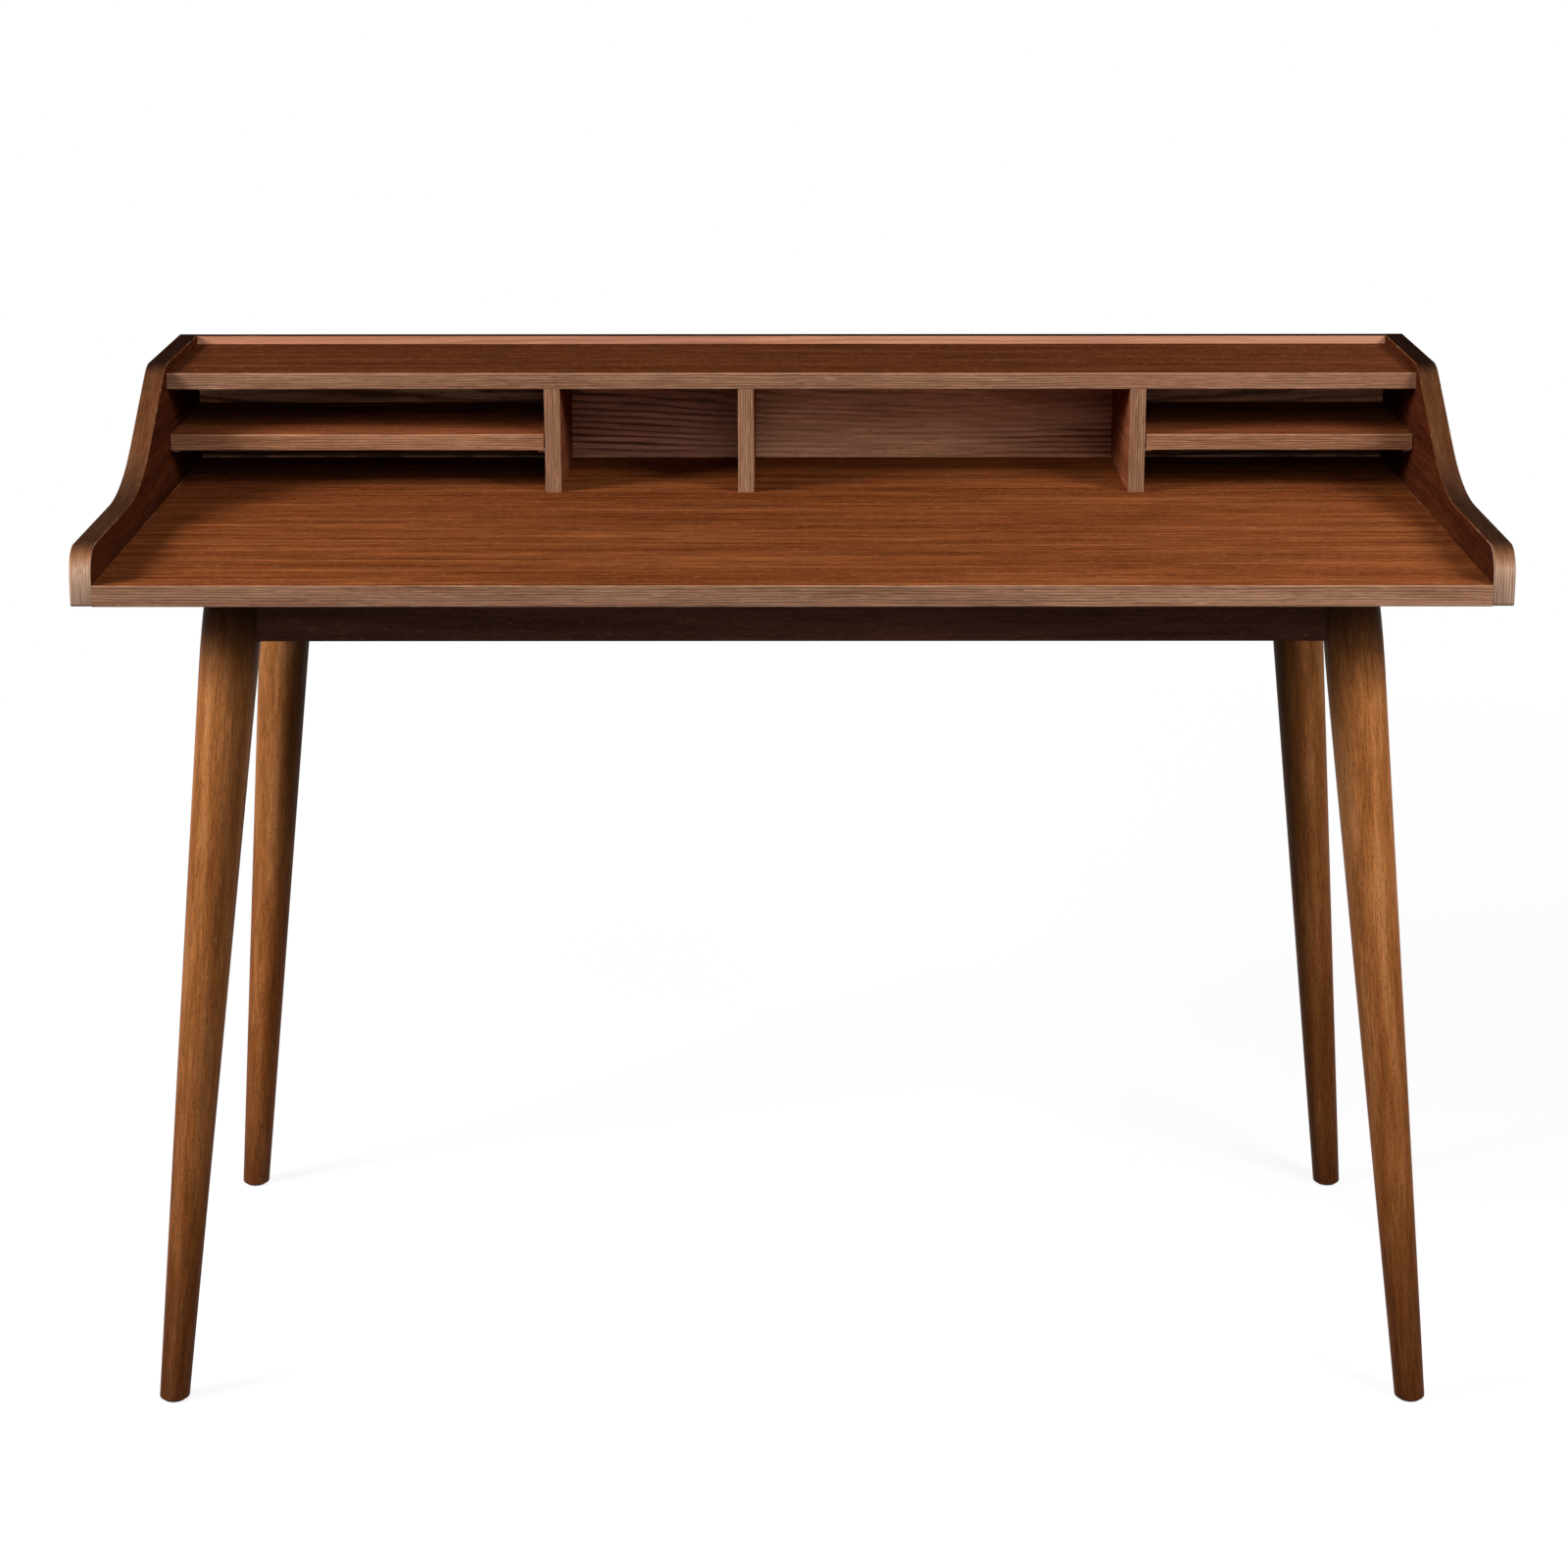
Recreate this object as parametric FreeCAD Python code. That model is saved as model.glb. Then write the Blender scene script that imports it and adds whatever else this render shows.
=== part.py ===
import FreeCAD, Part
import math
import os

# A writing desk with a low open gallery along its rear edge, on a frame with four splayed
# round legs. Lengths are millimetres. X runs along the width, Y from the front (-) to the
# rear (+) and Z up. The origin is on the floor, under the centre of the desktop.

# Overall size and the two heavy boards
desk_width = 1200.0
desk_depth = 600.0
underside_height = 736.0
desktop_thickness = 18.0
side_thickness = 18.0
side_height = 139.0

# Outline of a side panel, seen from the side
arm_height = 48.5
nose_radius = 25.0
toe_radius = 3.0
ramp_setback = 251.0
ramp_angle = math.radians(30.1)
sweep_radius = 235.0
shoulder_radius = 50.0

# Edge banding on the boards
band_thickness = 1.0
band_rounding = 0.5

# Gallery
gallery_depth = 191.0
gallery_board = 15.0
back_thickness = 8.0
lip_height = 8.5
left_bay_width = 351.0
second_bay_width = 166.0
right_bay_width = 251.0
lower_bay_height = 40.0

# Loose shelves and the pins that carry them
shelf_end_gap = 1.0
shelf_rear_gap = 1.0
shelf_seat_gap = 0.3
pin_radius = 2.5
pin_flat_height = 1.5
pin_depth = 8.0
pin_projection = 7.0
pin_inset = 14.0

# Legs: where each axis meets the underside, and how far the foot stands out from there
leg_inset_x = 120.0
leg_inset_y = 116.0
leg_splay_x = 74.0
leg_splay_y = 74.0
leg_top_diameter = 48.0
leg_belly_diameter = 50.8
leg_belly_drop = 86.0
leg_foot_diameter = 26.5
leg_flat_cut = 5.5
leg_corner_cut = 4.0
foot_rounding = 2.0

# Foot glides
glide_radius = 10.0
glide_thickness = 2.0
glide_rounding = 0.8
glide_nail_radius = 1.5
glide_nail_length = 14.0

# Frame under the desktop
apron_height = 54.0
apron_thickness = 18.0
apron_rounding = 1.0
block_height = 40.0
block_depth = 25.0

# Holes are wider than what they hold by this, all round, and deeper by this at the blind end
hole_clearance = 0.15
hole_end_gap = 0.5
overrun = 5.0

# Leg bolts
leg_bolt_radius = 4.0
leg_bolt_depth = 35.0
leg_bolt_tail = 3.0
washer_radius = 10.0
washer_thickness = 1.6
nut_across_flats = 13.0
nut_thickness = 6.5

# Wooden dowels
dowel_radius = 4.0
dowel_reach = 12.0
slim_dowel_radius = 3.0
slim_dowel_reach = 12.0
slim_dowel_tip = 9.0
apron_dowel_reach = 15.0
apron_dowel_tip = 10.0
apron_dowel_share = 0.28

# Cam locks and their bolts
cam_radius = 7.5
desktop_cam_depth = 12.5
shelf_cam_depth = 12.0
cam_backset = 34.0
cam_bolt_radius = 3.0
cam_bolt_depth = 11.0
cam_bolt_head_radius = 3.5
cam_bolt_head_length = 3.0
cam_slot_width = 1.2
cam_slot_length = 8.0
cam_slot_depth = 1.5

# Places of the joints along the side panels, from the front or rear edge of the board
side_bolt_inset = 70.0
side_dowel_spacing = 32.0
shelf_bolt_inset = 40.0

# Screws: shank and head
screw_radius = 2.0
screw_head_radius = 4.0
screw_head_height = 3.0
block_screw_place = 40.0
block_screw_recess = 5.0
block_screw_reach = 14.0
block_screw_height_shares = (0.25, 0.75)
apron_screw_recess = 22.0
apron_screw_reach = 13.0
long_apron_screw_shares = (0.08, 0.36, 0.64, 0.92)
short_apron_screw_shares = (0.25, 0.75)
back_screw_radius = 1.75
back_screw_head_radius = 3.5
back_screw_head_height = 2.0
back_screw_reach = 25.0
back_screw_shares = (0.06, 0.2, 0.43, 0.66, 0.94)
divider_screw_shares = (0.25, 0.75)
divider_dowel_shares = (0.25, 0.75)

# Worked out from the values above
inner_half = desk_width / 2 - side_thickness
front_y = -desk_depth / 2
rear_y = desk_depth / 2
desktop_z = underside_height + desktop_thickness
side_top_z = underside_height + side_height
top_shelf_z = side_top_z - lip_height
top_shelf_under_z = top_shelf_z - gallery_board
gallery_front_y = rear_y - gallery_depth
back_front_y = rear_y - back_thickness
loose_shelf_z = desktop_z + lower_bay_height
leg_axis_x = desk_width / 2 - leg_inset_x
leg_axis_y = desk_depth / 2 - leg_inset_y
leg_flat_offset = leg_top_diameter / 2 - leg_flat_cut
leg_corner_offset = leg_top_diameter / 2 - leg_corner_cut
apron_under_z = underside_height - apron_height
apron_shift_x = leg_splay_x * apron_height / 2 / underside_height
apron_shift_y = leg_splay_y * apron_height / 2 / underside_height
apron_line_x = leg_axis_x + apron_shift_x
apron_line_y = leg_axis_y + apron_shift_y
apron_half_x = leg_axis_x - leg_flat_offset
apron_half_y = leg_axis_y - leg_flat_offset
block_mid_z = underside_height - block_height / 2
desktop_mid_z = underside_height + desktop_thickness / 2
top_shelf_mid_z = top_shelf_z - gallery_board / 2
left_divider_x = -inner_half + left_bay_width
middle_divider_x = left_divider_x + gallery_board + second_bay_width
right_divider_x = inner_half - right_bay_width - gallery_board
divider_places = {"left": left_divider_x, "middle": middle_divider_x, "right": right_divider_x}

SIDES = {"left": -1, "right": 1}
ENDS = {"front": -1, "rear": 1}


def point(x, y, z):
    return FreeCAD.Vector(x, y, z)


def block(x0, x1, y0, y1, z0, z1):
    """A box between two corners."""
    corner = point(min(x0, x1), min(y0, y1), min(z0, z1))
    return Part.makeBox(abs(x1 - x0), abs(y1 - y0), abs(z1 - z0), corner)


def rod(radius, start, end):
    """A round bar from one point to another."""
    along = end - start
    return Part.makeCylinder(radius, along.Length, start, along)


def hole(radius, start, end):
    """The room for a round bar, wider than it and deeper at its far end."""
    along = (end - start).normalize()
    return rod(radius + hole_clearance, start, end + along * hole_end_gap)


def carve(solid, tools):
    """The solid with every tool cut away."""
    for tool in tools:
        solid = solid.cut(tool)
    return solid


def soften(solid, radius, wanted):
    """The solid with the edges whose middle point is wanted rounded off."""
    edges = [edge for edge in solid.Edges if wanted(edge.CenterOfMass, edge)]
    return solid.makeFillet(radius, edges)


def runs_along(edge, axis):
    """Whether an edge is straight and lies along X, Y or Z (0, 1 or 2)."""
    if len(edge.Vertexes) < 2 or not isinstance(edge.Curve, (Part.Line, Part.LineSegment)):
        return False
    start, end = edge.Vertexes[0].Point, edge.Vertexes[1].Point
    return abs((end - start)[axis]) > abs(edge.Length) * 0.999


def front_band(x0, x1, y, z0, z1, along):
    """Banding on a front edge at y, with its long outer corners rounded."""
    band = block(x0, x1, y, y + band_thickness, z0, z1)
    def outer(middle, edge):
        return middle.y < y + band_thickness / 2 and runs_along(edge, along)
    return soften(band, band_rounding, outer)


# The cam bolts, cam locks and dowels that join the boards. The line of a bolt or dowel is (start, end)

def desktop_cam_bolt_places():
    """Bolt axis at each cam: side, and the y where it crosses the joint."""
    return [(side, end * (desk_depth / 2 - side_bolt_inset))
            for side in SIDES.values() for end in ENDS.values()]


def shelf_cam_bolt_places():
    """Where the top shelf's bolts cross the joint at each side panel."""
    rows = (gallery_front_y + shelf_bolt_inset, back_front_y - shelf_bolt_inset)
    return [(side, y) for side in SIDES.values() for y in rows]


def cam_bolt_line(side, y, z):
    """From the blind end in the side panel to the middle of the cam."""
    outer = point(side * (inner_half + cam_bolt_depth), y, z)
    inner = point(side * (inner_half - cam_backset), y, z)
    return outer, inner


def cam_bolt(side, y, z):
    """Steel bolt with the small head that the cam pulls on."""
    outer, inner = cam_bolt_line(side, y, z)
    neck = point(side * (inner_half - cam_backset + cam_bolt_head_length), y, z)
    return rod(cam_bolt_radius, outer, neck).fuse(rod(cam_bolt_head_radius, neck, inner))


def cam_bolt_room(side, y, z):
    """Holes for the bolt: slim in the side panel, wide enough for the head in the board."""
    outer, inner = cam_bolt_line(side, y, z)
    joint = point(side * inner_half, y, z)
    return [hole(cam_bolt_radius, joint, outer), hole(cam_bolt_head_radius, joint, inner)]


def cam_lock(side, y, z, under_z, depth):
    """Round lock in the underside of a board, with a cross slot for the driver."""
    x = side * (inner_half - cam_backset)
    lock = rod(cam_radius, point(x, y, under_z), point(x, y, under_z + depth))
    half_width = cam_slot_width / 2
    half_length = cam_slot_length / 2
    slot_top = under_z + cam_slot_depth
    slots = [
        block(x - half_length, x + half_length, y - half_width, y + half_width, under_z, slot_top),
        block(x - half_width, x + half_width, y - half_length, y + half_length, under_z, slot_top),
    ]
    return carve(lock, cam_bolt_room(side, y, z)[1:] + slots)


def cam_lock_room(side, y, under_z, depth):
    x = side * (inner_half - cam_backset)
    return hole(cam_radius, point(x, y, under_z), point(x, y, under_z + depth))


def side_dowel_lines():
    """Dowels between the desktop's ends and the side panels."""
    reach = desk_depth / 2 - side_bolt_inset - side_dowel_spacing
    lines = []
    for side in SIDES.values():
        for y in (-reach, 0, reach):
            outer = point(side * (inner_half + dowel_reach), y, desktop_mid_z)
            inner = point(side * (inner_half - dowel_reach), y, desktop_mid_z)
            lines.append((outer, inner))
    return lines


def shelf_dowel_lines():
    """One dowel between each end of the top shelf and its side panel."""
    y = (gallery_front_y + back_front_y) / 2
    lines = []
    for side in SIDES.values():
        outer = point(side * (inner_half + slim_dowel_reach), y, top_shelf_mid_z)
        inner = point(side * (inner_half - slim_dowel_reach), y, top_shelf_mid_z)
        lines.append((outer, inner))
    return lines


def divider_dowel_lines(x0):
    """Upright dowels at the foot and the head of a divider."""
    x = x0 + gallery_board / 2
    lines = []
    for share in divider_dowel_shares:
        y = gallery_front_y + share * (back_front_y - gallery_front_y)
        foot = (point(x, y, desktop_z - slim_dowel_tip), point(x, y, desktop_z + slim_dowel_reach))
        head_low = point(x, y, top_shelf_under_z - slim_dowel_reach)
        head = (head_low, point(x, y, top_shelf_under_z + slim_dowel_tip))
        lines += [foot, head]
    return lines


def all_divider_dowel_lines():
    return [line for x0 in divider_places.values() for line in divider_dowel_lines(x0)]


def both_ways(radius, start, end):
    """Room for a dowel that is deeper than it at both of its ends."""
    middle = (start + end) / 2
    return [hole(radius, middle, start), hole(radius, middle, end)]


def holes_for(radius, lines):
    return [tool for start, end in lines for tool in both_ways(radius, start, end)]


# Screws, as (point on the outer face of the head, direction, length of the shank)

def screw(place, along, length, radius, head_radius, head_height):
    """Screw whose head starts at place and whose shank runs along."""
    along = point(along.x, along.y, along.z).normalize()
    neck = place + along * head_height
    head = rod(head_radius, place, neck)
    return head.fuse(rod(radius, neck, place + along * length))


def screw_room(place, along, length, radius, head_radius, head_height, access):
    """Hole for a screw, open outwards from the head for the given access depth."""
    along = point(along.x, along.y, along.z).normalize()
    neck = place + along * head_height
    head = rod(head_radius + hole_clearance, place - along * access, neck)
    return head.fuse(hole(radius, neck, place + along * length))


def back_screw_places():
    """Screws through the back panel into the top shelf and the dividers."""
    places = []
    for share in back_screw_shares:
        x = -inner_half + share * 2 * inner_half
        places.append(point(x, rear_y, top_shelf_mid_z))
    for x0 in divider_places.values():
        for share in divider_screw_shares:
            z = desktop_z + share * (top_shelf_under_z - desktop_z)
            places.append(point(x0 + gallery_board / 2, rear_y, z))
    return places


def back_screw_shape():
    return back_thickness + back_screw_reach, back_screw_radius, \
        back_screw_head_radius, back_screw_head_height


def back_screws():
    forward = point(0, -1, 0)
    return [screw(place, forward, *back_screw_shape()) for place in back_screw_places()]


def back_screw_rooms():
    forward = point(0, -1, 0)
    return [screw_room(place, forward, *back_screw_shape(), 0) for place in back_screw_places()]


def apron_screw_places():
    """Screws up through the aprons into the desktop: the outer face of each head."""
    z = apron_under_z + apron_screw_recess
    places = []
    for end in ENDS.values():
        for share in long_apron_screw_shares:
            x = -apron_half_x + share * 2 * apron_half_x
            places.append(point(x, end * apron_line_y, z))
    for side in SIDES.values():
        for share in short_apron_screw_shares:
            y = -apron_half_y + share * 2 * apron_half_y
            places.append(point(side * apron_line_x, y, z))
    return places


def apron_screw_shape():
    length = apron_height - apron_screw_recess + apron_screw_reach
    return length, screw_radius, screw_head_radius, screw_head_height


def apron_screws():
    upward = point(0, 0, 1)
    return [screw(place, upward, *apron_screw_shape()) for place in apron_screw_places()]


def apron_screw_rooms():
    upward = point(0, 0, 1)
    access = apron_screw_recess + overrun
    return [screw_room(place, upward, *apron_screw_shape(), access)
            for place in apron_screw_places()]


# The corner of the frame behind one leg. Distances dx and dy are measured inwards from the
# leg's axis at the underside of the desktop.

def corner_point(side, end, dx, dy, z):
    return point(side * (leg_axis_x - dx), end * (leg_axis_y - dy), z)


def apron_inner_dx():
    """From the leg's axis to the inner face of the side apron."""
    return apron_thickness / 2 - apron_shift_x


def apron_inner_dy():
    """From the leg's axis to the inner face of the front or rear apron."""
    return apron_thickness / 2 - apron_shift_y


def diagonal_sum(distance):
    """dx plus dy on the line square to the diagonal, at a distance along it."""
    return distance * math.sqrt(2)


def leg_bolt_line(side, end):
    """Axis of the leg bolt: from its blind end in the leg to its tail behind the nut."""
    start = (leg_corner_offset - leg_bolt_depth) / math.sqrt(2)
    tail = leg_corner_offset + block_depth + washer_thickness + nut_thickness + leg_bolt_tail
    stop = tail / math.sqrt(2)
    return (corner_point(side, end, start, start, block_mid_z),
            corner_point(side, end, stop, stop, block_mid_z))


def along_bolt(side, end, distance):
    """A point on the bolt's axis, at a distance from the leg's axis."""
    step = distance / math.sqrt(2)
    return corner_point(side, end, step, step, block_mid_z)


def leg_bolt(side, end):
    start, stop = leg_bolt_line(side, end)
    return rod(leg_bolt_radius, start, stop)


def leg_bolt_room(side, end):
    start, stop = leg_bolt_line(side, end)
    return hole(leg_bolt_radius, stop, start)


def leg_washer(side, end):
    face = leg_corner_offset + block_depth
    near = along_bolt(side, end, face)
    far = along_bolt(side, end, face + washer_thickness)
    return rod(washer_radius, near, far).cut(leg_bolt_room(side, end))


def leg_nut(side, end):
    """Hexagon nut on the leg bolt, with two flats level."""
    face = leg_corner_offset + block_depth + washer_thickness
    near = along_bolt(side, end, face)
    along = along_bolt(side, end, face + nut_thickness) - near
    up = point(0, 0, 1)
    across = along.cross(up).normalize()
    corner_radius = nut_across_flats / math.sqrt(3)
    corners = []
    for turn in range(7):
        angle = math.radians(60 * turn)
        corners.append(near + across * corner_radius * math.cos(angle)
                       + up * corner_radius * math.sin(angle))
    nut = Part.Face(Part.makePolygon(corners)).extrude(along)
    return nut.cut(leg_bolt_room(side, end))


def block_screw_places(side, end):
    """Screws from a corner block into its two aprons: place of the head and direction."""
    wide = diagonal_sum(leg_corner_offset + block_depth)
    depth = wide - block_screw_place - block_screw_recess
    places = []
    for share in block_screw_height_shares:
        z = underside_height - block_height + share * block_height
        to_long_apron = corner_point(side, end, block_screw_place, depth, z)
        to_side_apron = corner_point(side, end, depth, block_screw_place, z)
        long_length = depth - apron_inner_dy() + block_screw_reach
        side_length = depth - apron_inner_dx() + block_screw_reach
        places.append((to_long_apron, point(0, end, 0), long_length))
        places.append((to_side_apron, point(side, 0, 0), side_length))
    return places


def block_screw_shape(length):
    return length, screw_radius, screw_head_radius, screw_head_height


def block_screws():
    screws = []
    for side in SIDES.values():
        for end in ENDS.values():
            for place, along, length in block_screw_places(side, end):
                screws.append(screw(place, along, *block_screw_shape(length)))
    return screws


def block_screw_rooms(side, end):
    access = block_screw_recess + screw_head_radius + overrun
    return [screw_room(place, along, *block_screw_shape(length), access)
            for place, along, length in block_screw_places(side, end)]


def all_block_screw_rooms():
    return [room for side in SIDES.values() for end in ENDS.values()
            for room in block_screw_rooms(side, end)]


def apron_dowel_lines(side, end):
    """Dowels from one leg into the ends of its two aprons."""
    z = apron_under_z + apron_dowel_share * apron_height
    long_y = end * apron_line_y
    side_x = side * apron_line_x
    leg_x = side * (apron_half_x + apron_dowel_tip)
    leg_y = end * (apron_half_y + apron_dowel_tip)
    long_inner = point(side * (apron_half_x - apron_dowel_reach), long_y, z)
    side_inner = point(side_x, end * (apron_half_y - apron_dowel_reach), z)
    return [(point(leg_x, long_y, z), long_inner), (point(side_x, leg_y, z), side_inner)]


def all_apron_dowel_lines():
    return [line for side in SIDES.values() for end in ENDS.values()
            for line in apron_dowel_lines(side, end)]


# Boards of the top

def desktop_panel():
    """Desktop board between the side panels, without its banding."""
    panel = block(-inner_half, inner_half, front_y + band_thickness, rear_y - band_thickness,
                  underside_height, desktop_z)
    rooms = []
    for side, y in desktop_cam_bolt_places():
        rooms += cam_bolt_room(side, y, desktop_mid_z)[1:]
        rooms.append(cam_lock_room(side, y, underside_height, desktop_cam_depth))
    rooms += holes_for(dowel_radius, side_dowel_lines())
    rooms += holes_for(slim_dowel_radius, all_divider_dowel_lines())
    rooms += apron_screw_rooms()
    return carve(panel, rooms)


def desktop_front_band():
    return front_band(-inner_half, inner_half, front_y, underside_height, desktop_z, 0)


def desktop_rear_band():
    return block(-inner_half, inner_half, rear_y - band_thickness, rear_y,
                 underside_height, desktop_z)


def side_outline(inset):
    """Outline of a side panel in the YZ plane: the corners, each with its rounding.

    Every edge but the lower one moves inwards by the inset.
    """
    shift = inset * math.tan(ramp_angle / 2)
    arm_z = underside_height + arm_height - inset
    top_z = side_top_z - inset
    foot_y = front_y + ramp_setback + shift
    rise = side_height - arm_height
    head_y = foot_y + rise / math.tan(ramp_angle)
    return [
        (front_y + inset, underside_height, toe_radius),
        (front_y + inset, arm_z, nose_radius - inset),
        (foot_y, arm_z, sweep_radius + inset),
        (head_y, top_z, shoulder_radius - inset),
        (rear_y - inset, top_z, 0),
        (rear_y - inset, underside_height, 0),
    ]


def rounded_wire(x, corners):
    """Closed wire in the plane at x, with an arc at each corner that has a radius."""
    edges = []
    stops = []
    count = len(corners)
    for index, (y, z, radius) in enumerate(corners):
        corner = point(x, y, z)
        before_y, before_z = corners[index - 1][:2]
        after_y, after_z = corners[(index + 1) % count][:2]
        back = (point(x, before_y, before_z) - corner).normalize()
        ahead = (point(x, after_y, after_z) - corner).normalize()
        if radius == 0:
            stops.append((corner, corner, None))
            continue
        half_angle = back.getAngle(ahead) / 2
        reach = radius / math.tan(half_angle)
        start = corner + back * reach
        end = corner + ahead * reach
        inward = (back + ahead).normalize()
        middle = corner + inward * (radius / math.sin(half_angle) - radius)
        stops.append((start, end, Part.Arc(start, middle, end).toShape()))
    for index, (start, end, arc) in enumerate(stops):
        if arc is not None:
            edges.append(arc)
        next_start = stops[(index + 1) % count][0]
        edges.append(Part.LineSegment(end, next_start).toShape())
    return Part.Wire(edges)


def side_prism(side, inset):
    """Side panel of the full thickness, with its outline moved inwards by the inset."""
    x0 = min(side * inner_half, side * desk_width / 2)
    face = Part.Face(rounded_wire(x0, side_outline(inset)))
    return face.extrude(point(side_thickness, 0, 0))


def side_panel(side):
    """Side panel without its banding, drilled for everything that enters it."""
    rooms = []
    for place, y in desktop_cam_bolt_places():
        if place == side:
            rooms += cam_bolt_room(side, y, desktop_mid_z)[:1]
    for place, y in shelf_cam_bolt_places():
        if place == side:
            rooms += cam_bolt_room(side, y, top_shelf_mid_z)[:1]
    rooms += holes_for(dowel_radius, side_dowel_lines())
    rooms += holes_for(slim_dowel_radius, shelf_dowel_lines())
    rooms += [hole(pin_radius, mouth, blind) for mouth, blind in pin_lines(side * inner_half, side)]
    return carve(side_prism(side, band_thickness), rooms)


def side_edge_band(side):
    """Banding round the front, the top and the rear of a side panel."""
    def shows(middle, edge):
        return middle.z > underside_height and not runs_along(edge, 0)
    outer = soften(side_prism(side, 0), band_rounding, shows)
    return outer.cut(side_prism(side, band_thickness))


# Gallery

def top_shelf():
    panel = block(-inner_half, inner_half, gallery_front_y + band_thickness, back_front_y,
                  top_shelf_under_z, top_shelf_z)
    rooms = []
    for side, y in shelf_cam_bolt_places():
        rooms += cam_bolt_room(side, y, top_shelf_mid_z)[1:]
        rooms.append(cam_lock_room(side, y, top_shelf_under_z, shelf_cam_depth))
    rooms += holes_for(slim_dowel_radius, shelf_dowel_lines() + all_divider_dowel_lines())
    rooms += back_screw_rooms()
    return carve(panel, rooms)


def top_shelf_band():
    return front_band(-inner_half, inner_half, gallery_front_y, top_shelf_under_z, top_shelf_z, 0)


def back_panel():
    """Thin panel that stands on the desktop behind the gallery, up to the lip's banding."""
    panel = block(-inner_half, inner_half, back_front_y, rear_y,
                  desktop_z, side_top_z - band_thickness)
    return carve(panel, back_screw_rooms())


def back_panel_band():
    """Banding on the lip, with its two long upper corners rounded."""
    low = side_top_z - band_thickness
    band = block(-inner_half, inner_half, back_front_y, rear_y, low, side_top_z)
    def upper(middle, edge):
        return middle.z > low + band_thickness / 2 and runs_along(edge, 0)
    return soften(band, band_rounding, upper)


def divider(x0):
    panel = block(x0, x0 + gallery_board, gallery_front_y + band_thickness, back_front_y,
                  desktop_z, top_shelf_under_z)
    rooms = holes_for(slim_dowel_radius, divider_dowel_lines(x0)) + back_screw_rooms()
    if x0 == left_divider_x:
        rooms += [hole(pin_radius, mouth, blind) for mouth, blind in pin_lines(x0, 1)]
    if x0 == right_divider_x:
        rooms += [hole(pin_radius, mouth, blind)
                  for mouth, blind in pin_lines(x0 + gallery_board, -1)]
    return carve(panel, rooms)


def divider_band(x0):
    return front_band(x0, x0 + gallery_board, gallery_front_y, desktop_z, top_shelf_under_z, 2)


# Loose shelves. Each lies on four pins, two in the side panel and two in a divider.

def shelf_span(side):
    """The x of the two walls that a loose shelf lies between."""
    if side < 0:
        return -inner_half, left_divider_x
    return right_divider_x + gallery_board, inner_half


def pin_rows():
    depth_rear = back_front_y - shelf_rear_gap
    return gallery_front_y + pin_inset, depth_rear - pin_inset


def pin_lines(wall_x, into):
    """Pin axes at a wall: the mouth of each hole and its blind end."""
    z = loose_shelf_z - shelf_seat_gap - pin_flat_height
    return [(point(wall_x, y, z), point(wall_x + into * pin_depth, y, z)) for y in pin_rows()]


def shelf_pins(side):
    """Steel pins with a flat on top of the part that carries the shelf."""
    low_x, high_x = shelf_span(side)
    pins = []
    for wall_x, into in ((low_x, -1), (high_x, 1)):
        for mouth, blind in pin_lines(wall_x, into):
            tip = mouth - point(into * pin_projection, 0, 0)
            pin = rod(pin_radius, blind, tip)
            flat_z = mouth.z + pin_flat_height
            above = block(mouth.x, tip.x, mouth.y - pin_radius, mouth.y + pin_radius,
                          flat_z, flat_z + pin_radius)
            pins.append(pin.cut(above))
    return pins


def loose_shelf(side):
    low_x, high_x = shelf_span(side)
    return block(low_x + shelf_end_gap, high_x - shelf_end_gap,
                 gallery_front_y + band_thickness, back_front_y - shelf_rear_gap,
                 loose_shelf_z, loose_shelf_z + gallery_board)


def loose_shelf_band(side):
    low_x, high_x = shelf_span(side)
    return front_band(low_x + shelf_end_gap, high_x - shelf_end_gap, gallery_front_y,
                      loose_shelf_z, loose_shelf_z + gallery_board, 0)


# Legs and the frame

def leg_axis_point(side, end, z):
    """Point on a leg's axis at a height."""
    share = (underside_height - z) / underside_height
    return point(side * (leg_axis_x + leg_splay_x * share),
                 end * (leg_axis_y + leg_splay_y * share), z)


def leg_turning(side, end):
    """Round bar about a leg's axis, longer than the leg at both ends.

    It widens evenly from the foot to the belly and then curves in to the top.
    """
    belly_height = underside_height - leg_belly_drop
    slope = (leg_belly_diameter - leg_foot_diameter) / 2 / belly_height
    spare = leg_belly_diameter
    foot_radius = leg_foot_diameter / 2 - slope * spare
    belly_radius = leg_belly_diameter / 2
    fall = belly_radius + slope * leg_belly_drop - leg_top_diameter / 2
    middle_radius = belly_radius + slope * leg_belly_drop / 2 - fall / 4
    low = leg_axis_point(side, end, 0)
    high = leg_axis_point(side, end, underside_height)
    along = high - low
    stretch = along.Length / underside_height
    belly = point(belly_radius, 0, belly_height * stretch)
    middle = point(middle_radius, 0, (belly_height + leg_belly_drop / 2) * stretch)
    top = point(leg_top_diameter / 2, 0, underside_height * stretch)
    end_cap = point(leg_top_diameter / 2, 0, underside_height * stretch + spare)
    end_axis = point(0, 0, underside_height * stretch + spare)
    foot_axis = point(0, 0, -spare * stretch)
    foot = point(foot_radius, 0, -spare * stretch)
    edges = [
        Part.LineSegment(foot_axis, foot).toShape(),
        Part.LineSegment(foot, belly).toShape(),
        Part.Arc(belly, middle, top).toShape(),
        Part.LineSegment(top, end_cap).toShape(),
        Part.LineSegment(end_cap, end_axis).toShape(),
        Part.LineSegment(end_axis, foot_axis).toShape(),
    ]
    turned = Part.Face(Part.Wire(edges)).revolve(point(0, 0, 0), point(0, 0, 1), 360)
    turned.Placement = FreeCAD.Placement(low, FreeCAD.Rotation(point(0, 0, 1), along))
    return turned


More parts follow.
